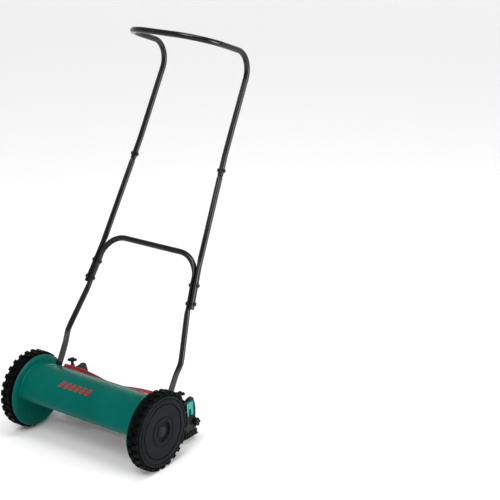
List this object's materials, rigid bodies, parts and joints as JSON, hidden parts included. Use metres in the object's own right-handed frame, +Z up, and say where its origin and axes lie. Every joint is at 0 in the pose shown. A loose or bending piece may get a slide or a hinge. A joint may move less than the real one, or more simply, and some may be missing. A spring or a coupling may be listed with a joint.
{
  "type": "reel mower",
  "caption": "Hand-pushed reel mower: helical blades geared to two wheels turn against a bed knife, with a front cover, rear roller and tubular push handle.",
  "frame": {"origin": "on the ground, midway between the front of the tyres and the rearmost point of the handle, midway between the wheels", "axes": "+Z up, +Y to the rear (towards the person pushing), +X to that person's left"},
  "size_m": [0.483, 0.6239, 1.0809],
  "materials": {
    "teal_plastic": "glossy moulded teal-green plastic",
    "black_paint": "glossy black paint on steel tube and bar",
    "black_plastic": "satin black moulded plastic",
    "wheel_plastic": "charcoal moulded plastic",
    "tyre_rubber": "black rubber",
    "red_paint": "red paint on steel strip",
    "bronze": "plain sintered bronze",
    "steel": "zinc-plated or bare steel"
  },
  "bodies": {
    "chassis": {"side_plate_left": "teal_plastic", "side_plate_right": "teal_plastic", "front_cover": "teal_plastic", "cross_rod": "steel", "axle_stub_left": "steel", "axle_stub_right": "steel", "axle_clip_left": "steel", "axle_clip_right": "steel", "reel_bush_left": "bronze", "reel_bush_right": "bronze", "pivot_bolt_left": "steel", "pivot_bolt_right": "steel", "clamp_plate_left": "black_plastic", "clamp_plate_right": "black_plastic", "clamp_bolt_left": "steel", "clamp_bolt_right": "steel"},
    "wheel_left": {"wheel_left": "wheel_plastic", "tyre_left": "tyre_rubber", "ring_gear_left": "steel", "hub_cap_left": "black_plastic"},
    "wheel_right": {"wheel_right": "wheel_plastic", "tyre_right": "tyre_rubber", "ring_gear_right": "steel", "hub_cap_right": "black_plastic"},
    "reel": {"reel_shaft": "steel", "pinion_left": "steel", "drive_key_left": "steel", "drive_key_right": "steel", "reel_spider_1": "steel", "reel_spider_2": "steel", "reel_spider_3": "steel", "reel_spider_4": "steel", "reel_blade_1": "red_paint", "reel_blade_2": "red_paint", "reel_blade_3": "red_paint", "reel_blade_4": "red_paint", "reel_blade_5": "red_paint"},
    "free_pinion": {"pinion_right": "steel"},
    "bedknife": {"bedknife_carrier": "black_paint", "bedknife": "steel", "bedknife_bolt_left": "steel", "bedknife_bolt_right": "steel"},
    "adjuster_left": {"adjuster_knob_left": "black_plastic"},
    "adjuster_right": {"adjuster_knob_right": "black_plastic"},
    "carriage": {"roller_bracket_left": "black_plastic", "roller_bracket_right": "black_plastic", "roller_axle": "steel"},
    "roller": {"roller": "black_plastic"},
    "clamp_left": {"clamp_knob_left": "black_plastic"},
    "clamp_right": {"clamp_knob_right": "black_plastic"},
    "handle": {"lower_frame": "black_paint", "upper_handle": "black_paint", "middle_tube_left": "black_paint", "middle_tube_right": "black_paint", "frame_bolt_lower_left": "steel", "frame_bolt_lower_right": "steel", "frame_bolt_upper_left": "steel", "frame_bolt_upper_right": "steel", "mid_bolt_left": "steel", "mid_bolt_right": "steel"}
  },
  "joints": [
    {"name": "wheel_left_spin", "type": "hinge", "parent": "chassis", "child": "wheel_left", "pos_m": [0.22635, -0.20451, 0.1075], "axis": [1, 0, 0], "continuous": true},
    {"name": "wheel_right_spin", "type": "hinge", "parent": "chassis", "child": "wheel_right", "pos_m": [-0.22635, -0.20451, 0.1075], "axis": [1, 0, 0], "continuous": true},
    {"name": "reel_spin", "type": "hinge", "parent": "chassis", "child": "reel", "pos_m": [0, -0.14851, 0.1075], "axis": [1, 0, 0], "continuous": true},
    {"name": "free_pinion_spin", "type": "hinge", "parent": "chassis", "child": "free_pinion", "pos_m": [-0.218, -0.14851, 0.1075], "axis": [1, 0, 0], "continuous": true},
    {"name": "handle_swing", "type": "hinge", "parent": "chassis", "child": "handle", "pos_m": [0, -0.13251, 0.1408], "axis": [1, 0, 0], "range_deg": [0, 40]},
    {"name": "roller_height", "type": "slide", "parent": "chassis", "child": "carriage", "axis": [0, 0, 1], "range_m": [-0.012, 0.016]},
    {"name": "roller_spin", "type": "hinge", "parent": "carriage", "child": "roller", "pos_m": [0, -0.03251, 0.02], "axis": [1, 0, 0], "continuous": true},
    {"name": "adjuster_left_turn", "type": "hinge", "parent": "chassis", "child": "adjuster_left", "pos_m": [0.1935, -0.07301, 0.1533], "axis": [0, 0, 1], "range_deg": [0, 120]},
    {"name": "adjuster_right_turn", "type": "hinge", "parent": "chassis", "child": "adjuster_right", "pos_m": [-0.1935, -0.07301, 0.1533], "axis": [0, 0, 1], "range_deg": [0, 120]},
    {"name": "bedknife_tilt", "type": "hinge", "parent": "chassis", "child": "bedknife", "pos_m": [0, -0.09251, 0.0625], "axis": [1, 0, 0], "range_deg": [0, 1]},
    {"name": "clamp_left_turn", "type": "hinge", "parent": "chassis", "child": "clamp_left", "pos_m": [0.21, -0.02451, 0.0555], "axis": [1, 0, 0], "range_deg": [0, 360]},
    {"name": "clamp_right_turn", "type": "hinge", "parent": "chassis", "child": "clamp_right", "pos_m": [-0.21, -0.02451, 0.0555], "axis": [-1, 0, 0], "range_deg": [0, 360]}
  ],
  "couplings": [
    {"joint": "reel_spin", "follows": "wheel_left_spin", "ratio": 5},
    {"joint": "free_pinion_spin", "follows": "wheel_right_spin", "ratio": 5},
    {"joint": "adjuster_right_turn", "follows": "adjuster_left_turn", "ratio": 1},
    {"joint": "bedknife_tilt", "follows": "adjuster_left_turn", "ratio": 0.0083333}
  ]
}
